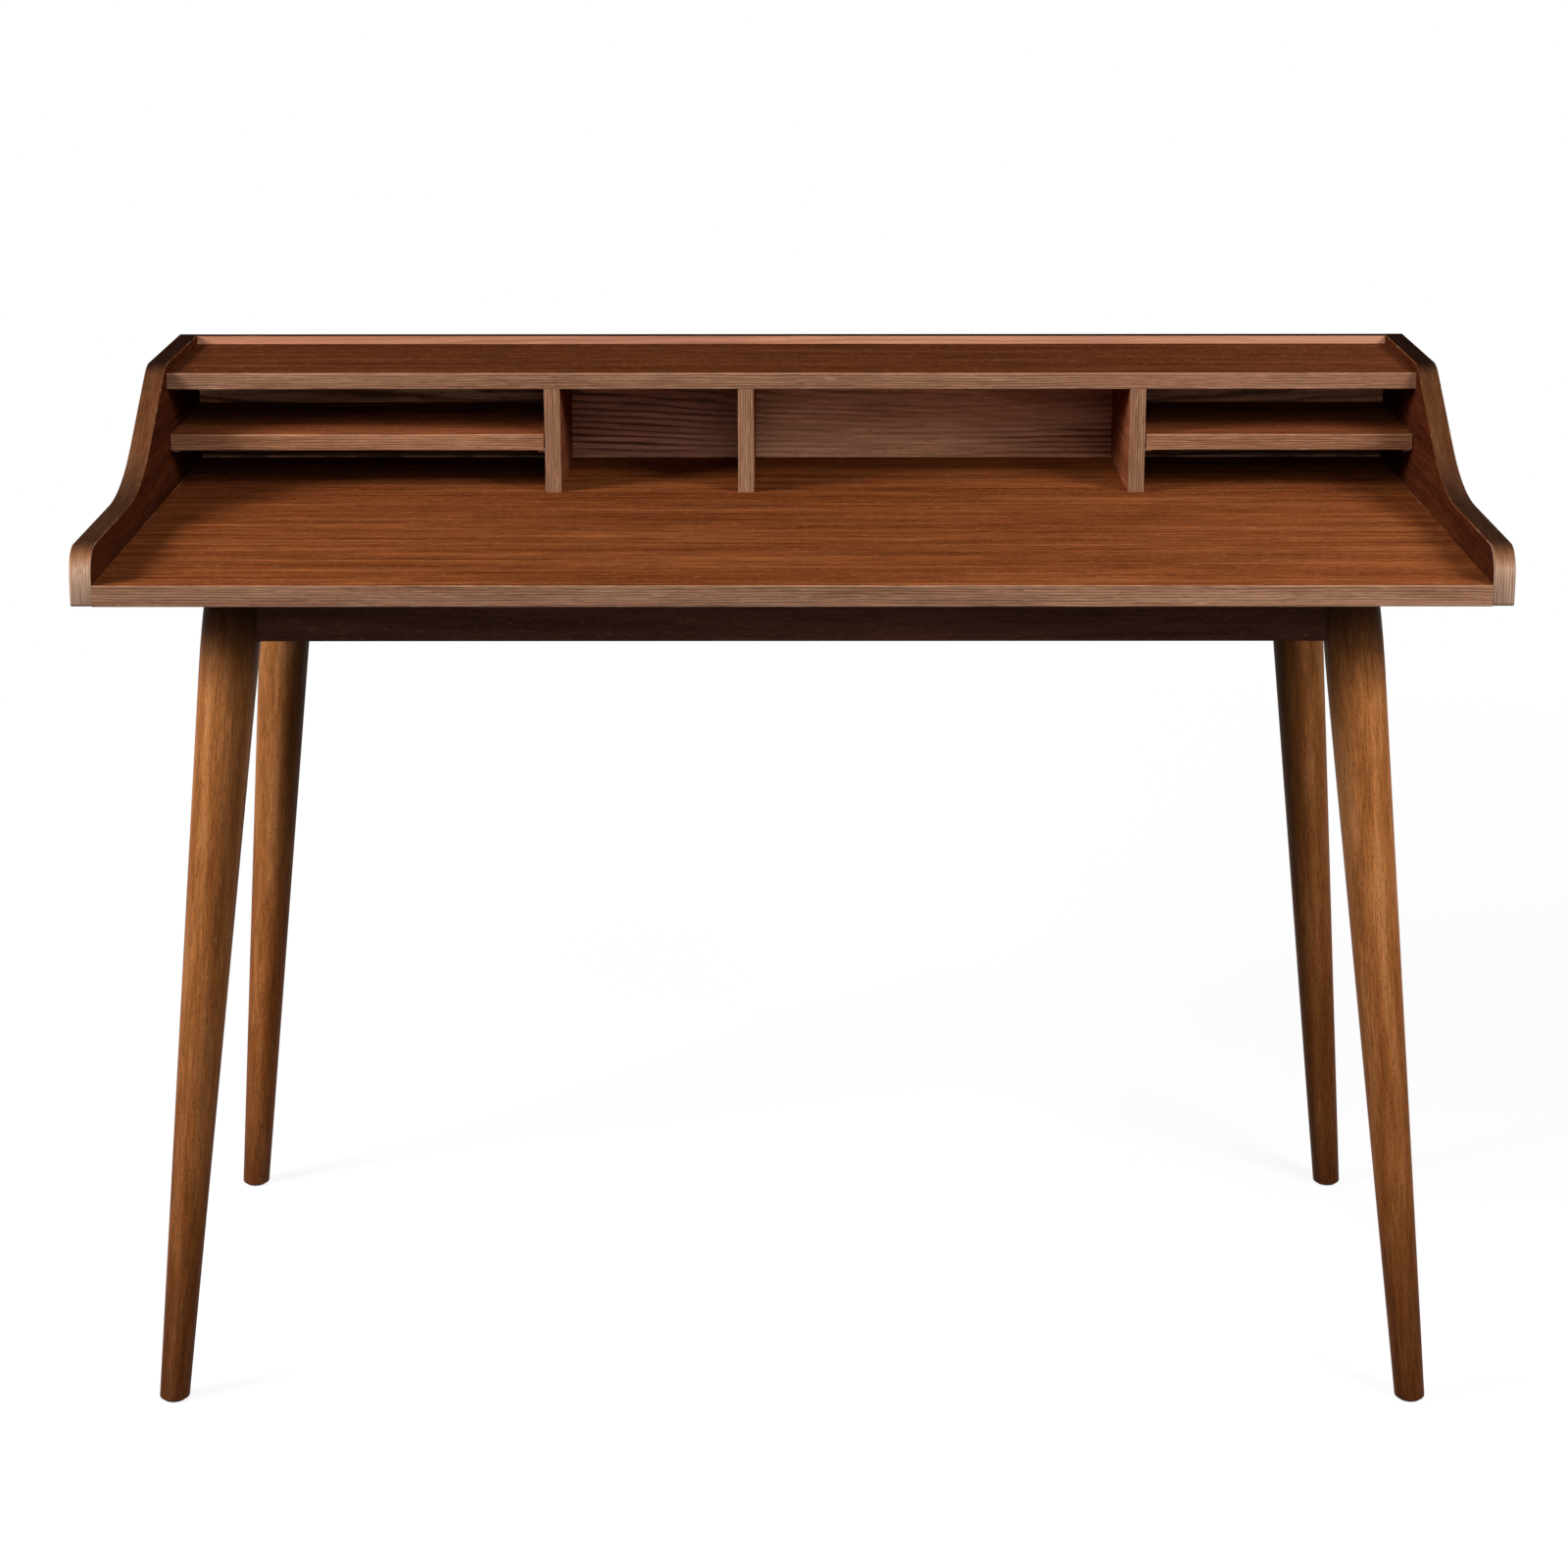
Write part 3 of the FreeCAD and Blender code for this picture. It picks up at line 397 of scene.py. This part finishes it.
# The shadow on the back panel below the loose shelves, along its width, and where it ends
GAP_TINTS = tints((0.0, 0.3, 0.3, 0.3), (0.29, 0.3, 0.3, 0.3), (0.31, 1.0, 1.0, 1.0),
                  (0.77, 1.0, 1.0, 1.0), (0.79, 0.3, 0.3, 0.3), (1.0, 0.3, 0.3, 0.3))
GAP_FADE = (-0.004, 0.006)
# The back panel's rear face, and how far in it starts
REAR_TINT = (0.5, 0.43, 0.39, 1)
REAR_FADE = (0.001, 0.002)
# The lip over the top shelf, partly painted light: its tones at the left and at the right, where they start
# to change, and how strong they are from the shelf up
LIP_TONES = (tone(176, 119, 93), tone(207, 150, 120))
LIP_CHANGE = (0.45, 1.0)
LIP_FADE = (-0.0006, 0.0002)
LIP_SHARE = 0.72
# Painted light: how light the long bands and the top shelf are in their left half and at their right end
WIDTH_SHADES = (0.9, 1.24)


def lighter_right(shader, base):
    """Painted light: the boards' right half gets lighter towards its end."""
    across = shader.split(shader.place())["X"]
    return shader.shade(base, shader.span(across, 0.0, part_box("desktop_panel")[1].x, *WIDTH_SHADES))


# Painted light to the right, and a painted highlight along the top edge
def long_band(node):
    line = top_edge_highlight(node)
    return lambda shader, base: line(shader, lighter_right(shader, base))


def desktop_shade_and_joint_line(shader, base):
    """Lighter to the right, partly painted light, with a pale broken line at each end."""
    low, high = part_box("desktop_panel")
    across = shader.split(shader.place())["X"]
    base = shader.tint(base, shader.ramp(shader.span(across, low.x, high.x), DESKTOP_TINTS))
    reach = shader.fade(shader.math("ABSOLUTE", across), high.x, JOINT_FADE)
    share = shader.math("MULTIPLY", reach, broken(shader, *JOINT_LINE_BREAKS))
    return shader.mix(share, base, EDGE_TONE)


def back_shade_and_lines(shader, base):
    """Painted shade that sets each bay's lightness, a painted shadow below the loose shelves, a paler lip
    that is partly painted light, a painted highlight at the foot and a darker rear face.
    """
    low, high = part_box("desktop_panel")
    place = shader.split(shader.place())
    along = shader.span(place["X"], low.x, high.x)
    bays = shader.tint(base, shader.ramp(along, BACK_TINTS))
    in_gap = shader.fade(place["Z"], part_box("left_loose_shelf")[0].z, GAP_FADE, 1.0, 0.0)
    bays = shader.mix(in_gap, bays, shader.tint(bays, shader.ramp(along, GAP_TINTS)))
    lip = shader.fade(place["Z"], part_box("top_shelf")[1].z, LIP_FADE, 0.0, LIP_SHARE)
    lip_tone = shader.mix(shader.span(along, *LIP_CHANGE), *LIP_TONES)
    foot_line = highlight_line(high.z + FOOT_LINE_RISE, *FOOT_LINE)
    front = foot_line(shader, shader.mix(lip, bays, lip_tone))
    behind = shader.fade(place["Y"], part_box("back_panel")[0].y, REAR_FADE)
    return shader.mix(behind, front, shader.tint(base, REAR_TINT))


# Painted shade, partly the bands' own tone: how the side bands darken as they turn from upright to flat, by
# the height of the surface normal: round the nose at the front, and behind it up the ramp and along the top
NOSE_TINTS = tints((0.0, 1.0, 1.0, 1.0), (0.35, 0.95, 0.92, 0.9), (0.6, 0.66, 0.52, 0.41),
                   (0.82, 0.4, 0.26, 0.17), (1.0, 0.17, 0.115, 0.088))
RAMP_TINTS = tints((0.0, 0.52, 0.28, 0.14), (0.26, 0.48, 0.26, 0.12), (0.72, 0.42, 0.22, 0.095),
                   (0.9, 0.3, 0.185, 0.115), (0.985, 0.17, 0.115, 0.088), (1.0, 0.135, 0.09, 0.07))
# Where the nose ends, from the front
NOSE_FADE = (0.03, 0.039)
# Painted shade and highlight: how light the nose is at its foot and where its rounding starts, and those
# two heights
NOSE_SHADES = (0.74, 1.16)
NOSE_RISE = (0.006, 0.03)
# Painted shade on the flat top: its tint, its heights below the highest point, and how far up its face
# turns
TOP_TINT = (0.46, 0.44, 0.5, 1)
TOP_RISE = (-0.03, -0.004)
TOP_TURN = (0.8, 0.99)


def turned_side(shader, base):
    """Painted light and shade by the way the face turns, partly the band's own tone: pale round the nose
    with a painted highlight where its rounding starts, orange brown up the ramp, darkest on the flat top,
    and a broken painted highlight on the inner arris.
    """
    place = shader.split(shader.place())
    upward = shader.split(shader.normal())["Z"]
    low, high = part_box("left_side_band")
    behind_nose = shader.fade(place["Y"], low.y, NOSE_FADE)
    rise = shader.fade(place["Z"], low.z, NOSE_RISE, *NOSE_SHADES)
    nose = shader.shade(shader.ramp(upward, NOSE_TINTS), rise)
    base = shader.tint(base, shader.mix(behind_nose, nose, shader.ramp(upward, RAMP_TINTS)))
    on_top = shader.math("MULTIPLY", shader.fade(place["Z"], high.z, TOP_RISE),
                         shader.span(upward, *TOP_TURN))
    base = shader.mix(on_top, base, shader.tint(base, TOP_TINT))
    sideways = shader.math("ABSOLUTE", place["X"])
    near = shader.fade(sideways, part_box("desktop_panel")[1].x, ARRIS_FADE, 1.0, 0.0)
    share = shader.math("MULTIPLY", near, broken(shader, *ARRIS_HIGHLIGHT_BREAKS))
    return shader.mix(share, base, ARRIS_TONE)


# Painted shade: how dark a leg is, from the floor up to the underside: darker at the foot and in the
# desktop's shadow
LEG_TINTS = tints((0.0, 0.3, 0.25, 0.24), (0.28, 0.6, 0.53, 0.46), (0.56, 0.86, 0.82, 0.78),
                  (0.76, 1.0, 1.0, 1.0), (0.87, 1.0, 1.0, 1.0), (0.91, 0.74, 0.74, 0.78),
                  (0.945, 0.3, 0.29, 0.32), (0.965, 0.17, 0.16, 0.185), (1.0, 0.07, 0.066, 0.08))
# Painted light and shade: how light each leg is, and how dark its side towards the desk's middle is, at the
# foot and at the top
LEG_SHADES = {"front_left_leg": ((0.9, 0.8), (0.75, 0.45)), "front_right_leg": ((1.0, 1.2), (0.75, 0.4)),
              "rear_left_leg": ((1.35, 0.72), (0.75, 0.1)), "rear_right_leg": ((1.0, 0.64), (0.6, 0.12))}
# The heights, as shares of the leg, between which those two shades change
LEG_SHADE_SPAN = (0.2, 0.9)
INNER_SHADE_SPAN = (0.3, 0.85)
# How far a face turns outward where the inner side's shade is full and where it ends
INNER_TURN = (-0.9, 0.15)
# Half the leg's width at its top
LEG_TOP_HALF = 0.024


def leg_grain(node):
    """The leg's own axis, from its top to its foot glide, and two directions across it."""
    low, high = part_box(node)
    foot_low, foot_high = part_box(node.replace("_leg", "_foot_glide"))
    foot = (foot_low + foot_high) / 2
    out_x = math.copysign(1, foot.x)
    out_y = math.copysign(1, foot.y)
    top = Vector(((low.x if out_x > 0 else high.x) + out_x * LEG_TOP_HALF,
                  (low.y if out_y > 0 else high.y) + out_y * LEG_TOP_HALF, high.z))
    along = (top - foot).normalized()
    across = along.cross(Vector(Y_AXIS)).normalized()
    return tuple(along), tuple(across), tuple(along.cross(across))


def leg_shadow(node):
    """Painted shade: darker towards the foot, in the hand's breadth under the desktop and on the inner
    side, and each leg lighter or darker as a whole.
    """
    outward = 1 if "right" in node else -1
    leg_shades, inner_shades = LEG_SHADES[node]

    def paint(shader, base):
        height = shader.span(shader.split(shader.place())["Z"], 0.0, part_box(node)[1].z)
        base = shader.tint(base, shader.ramp(height, LEG_TINTS))
        facing = shader.math("MULTIPLY", shader.split(shader.normal())["X"], outward)
        inner_most = shader.span(height, *INNER_SHADE_SPAN, *inner_shades)
        inner = shader.span(facing, *INNER_TURN, inner_most, 1.0)
        whole = shader.span(height, *LEG_SHADE_SPAN, *leg_shades)
        return shader.shade(base, shader.math("MULTIPLY", inner, whole))
    return paint


# Boards and bands without painted shade or lines of their own: the first one's seed, the nodes, their wood
# and their grain
PLAIN_WOODS = [
    (4, ("left_loose_shelf", "right_loose_shelf"), SHELF_BOARD, GRAIN_ALONG_WIDTH),
    (6, ("left_divider", "middle_divider", "right_divider"), DIVIDER_BOARD, GRAIN_ALONG_DEPTH),
    (9, ("left_side_panel", "right_side_panel"), SIDE_BOARD, GRAIN_ALONG_DEPTH),
    (14, ("back_panel_band",), TOP_EDGE_BAND, GRAIN_ALONG_WIDTH),
    (17, ("left_divider_band", "middle_divider_band", "right_divider_band"), BAND, GRAIN_UPRIGHT),
    (22, ("front_apron", "rear_apron"), APRON, GRAIN_ON_BACK),
    (24, ("left_apron", "right_apron"), APRON, GRAIN_ALONG_DEPTH),
]


def dress_boards():
    dress("desktop_panel", wood("desktop_walnut", BOARD, GRAIN_ALONG_WIDTH, 1, desktop_shade_and_joint_line))
    dress_wood("top_shelf", TOP_SHELF_BOARD, GRAIN_ALONG_WIDTH, 2, lighter_right)
    dress("back_panel", wood("back_walnut", BACK_BOARD, GRAIN_ON_BACK, 3, back_shade_and_lines))
    for first_seed, nodes, look, grain in PLAIN_WOODS:
        for seed, node in enumerate(nodes, first_seed):
            dress_wood(node, look, grain, seed)


def dress_bands():
    for seed, node in enumerate(("desktop_front_band", "desktop_rear_band", "top_shelf_band"), 11):
        dress_wood(node, BAND, GRAIN_ON_BACK, seed, long_band(node))
    for seed, node in enumerate(("left_loose_shelf_band", "right_loose_shelf_band"), 15):
        dress_wood(node, SHELF_BAND, GRAIN_ON_BACK, seed, top_edge_highlight(node))
    for seed, node in enumerate(("left_side_band", "right_side_band"), 20):
        dress_wood(node, SIDE_BAND, GRAIN_ROUND_SIDE, seed, turned_side)


def dress_corners():
    glide = nylon("glide_nylon")
    for seed, corner in enumerate(("front_left", "front_right", "rear_left", "rear_right"), 26):
        leg = corner + "_leg"
        dress_wood(leg, LEG, leg_grain(leg), seed, leg_shadow(leg))
        dress(corner + "_corner_block", wood(corner + "_block_beech", BEECH, GRAIN_UPRIGHT, seed))
        dress(corner + "_foot_glide", glide)


def dress_fastenings():
    steel = metal("plated_steel", STEEL)
    zinc = metal("cast_zinc", CAST_ZINC)
    dowel_beech = wood("dowel_beech", BEECH, GRAIN_ALONG_WIDTH, 31)
    for node in ("left_shelf_pins", "right_shelf_pins", "leg_bolts", "leg_bolt_washers", "leg_bolt_nuts",
                 "corner_block_screws", "apron_screws", "back_panel_screws", "desktop_cam_bolts",
                 "top_shelf_cam_bolts"):
        dress(node, steel)
    for node in ("desktop_cam_locks", "top_shelf_cam_locks"):
        dress(node, zinc)
    for node in ("apron_dowels", "side_panel_dowels", "top_shelf_dowels", "divider_dowels"):
        dress(node, dowel_beech)


# The stage: a floor that is white to the camera and to gloss, and keeps the desk's shadow
FLOOR_SIZE = 80.0
FLOOR_GREY = 0.2
FLOOR_GLOW = 0.86
SHADOW_NEAR = 0.9
SHADOW_FAR = 2.6
# The world: white to the camera and to gloss too, and a low even light on the desk
AMBIENT = 0.09
WHITE = (1, 1, 1, 1)
# A glow or background of this strength comes out white
FULL_WHITE = 1.0


def seen_directly(nodes):
    """1 for rays from the camera, from gloss and through glass, and 0 for light that bounces."""
    path = nodes.node("ShaderNodeLightPath")
    total = path.outputs["Is Camera Ray"]
    for name in ("Is Glossy Ray", "Is Transmission Ray"):
        total = nodes.math("MAXIMUM", total, path.outputs[name])
    return total


def build_floor():
    mesh = bpy.data.meshes.new("floor")
    half = FLOOR_SIZE / 2
    corners = [(-half, -half, 0), (half, -half, 0), (half, half, 0), (-half, half, 0)]
    mesh.from_pydata(corners, [], [(0, 1, 2, 3)])
    floor = bpy.data.objects.new("floor", mesh)
    bpy.context.scene.collection.objects.link(floor)
    material = bpy.data.materials.new("pale_floor")
    material.use_nodes = True
    nodes = Nodes(material.node_tree)
    grey = (FLOOR_GREY, FLOOR_GREY, FLOOR_GREY, 1)
    matte = nodes.node("ShaderNodeBsdfDiffuse", {"Color": grey}).outputs[0]
    glow = nodes.node("ShaderNodeEmission", {"Strength": FLOOR_GLOW}).outputs[0]
    lit = nodes.node("ShaderNodeAddShader", {0: matte, 1: glow}).outputs[0]
    white = nodes.node("ShaderNodeEmission", {"Strength": FULL_WHITE}).outputs[0]
    distance = nodes.vector("LENGTH", nodes.place())
    shown = nodes.mix_shaders(nodes.span(distance, SHADOW_NEAR, SHADOW_FAR), lit, white)
    surface = nodes.mix_shaders(seen_directly(nodes), matte, shown)
    nodes.node("ShaderNodeOutputMaterial", {"Surface": surface})
    mesh.materials.append(material)


def build_world():
    world = bpy.data.worlds.new("studio")
    bpy.context.scene.world = world
    world.use_nodes = True
    nodes = Nodes(world.node_tree)
    white = nodes.node("ShaderNodeBackground", {"Color": WHITE, "Strength": FULL_WHITE}).outputs[0]
    soft = nodes.node("ShaderNodeBackground", {"Color": WHITE, "Strength": AMBIENT}).outputs[0]
    surface = nodes.mix_shaders(seen_directly(nodes), soft, white)
    nodes.node("ShaderNodeOutputWorld", {"Surface": surface})


# Soft lamps, as (place, point aimed at, width, height, watts)
LAMPS = {
    "left_softbox": ((-2.2, -1.05, 1.85), (-0.3, 0, 0.85), 0.9, 0.9, 74),
    "right_softbox": ((1.8, -1.75, 2.2), (0.4, 0, 0.85), 1.0, 1.0, 51),
    "front_softbox": ((0.1, -3.4, 2.0), (0, 0, 0.8), 1.8, 0.6, 14),
    "low_softbox": ((0.1, -3.4, 1.15), (0, 0, 0.8), 1.8, 0.4, 9),
    "rear_softbox": ((-0.7, 3.2, 1.3), (0, 0.3, 0.7), 1.6, 0.8, 34),
}


def build_lamps():
    for name, (place, target, width, height, watts) in LAMPS.items():
        light = bpy.data.lights.new(name, "AREA")
        light.shape = "RECTANGLE"
        light.size = width
        light.size_y = height
        light.energy = watts
        lamp = bpy.data.objects.new(name, light)
        lamp.location = place
        lamp.rotation_euler = (Vector(target) - Vector(place)).to_track_quat("-Z", "Y").to_euler()
        bpy.context.scene.collection.objects.link(lamp)


# The camera, solved from the desk's corners in the picture. Angles are in degrees.
CAMERA_PLACE = (-0.0052, -3.2135, 1.3934)
CAMERA_TILT = 15.54
CAMERA_TURN = 0.033
CAMERA_ROLL = -0.035
SENSOR = 36.0
FOCAL_PIXELS = 3662.86
PICTURE = 1600


def build_camera():
    data = bpy.data.cameras.new("camera")
    data.sensor_width = SENSOR
    data.lens = FOCAL_PIXELS * SENSOR / PICTURE
    camera = bpy.data.objects.new("camera", data)
    turn = Matrix.Rotation(math.radians(CAMERA_TURN), 4, "Z")
    tilt = Matrix.Rotation(math.radians(90 - CAMERA_TILT), 4, "X")
    roll = Matrix.Rotation(math.radians(CAMERA_ROLL), 4, "Z")
    camera.matrix_world = Matrix.Translation(CAMERA_PLACE) @ turn @ tilt @ roll
    bpy.context.scene.collection.objects.link(camera)
    bpy.context.scene.camera = camera


dress_boards()
dress_bands()
dress_corners()
dress_fastenings()
build_floor()
build_world()
build_lamps()
build_camera()
bpy.context.scene.view_settings.view_transform = "Standard"
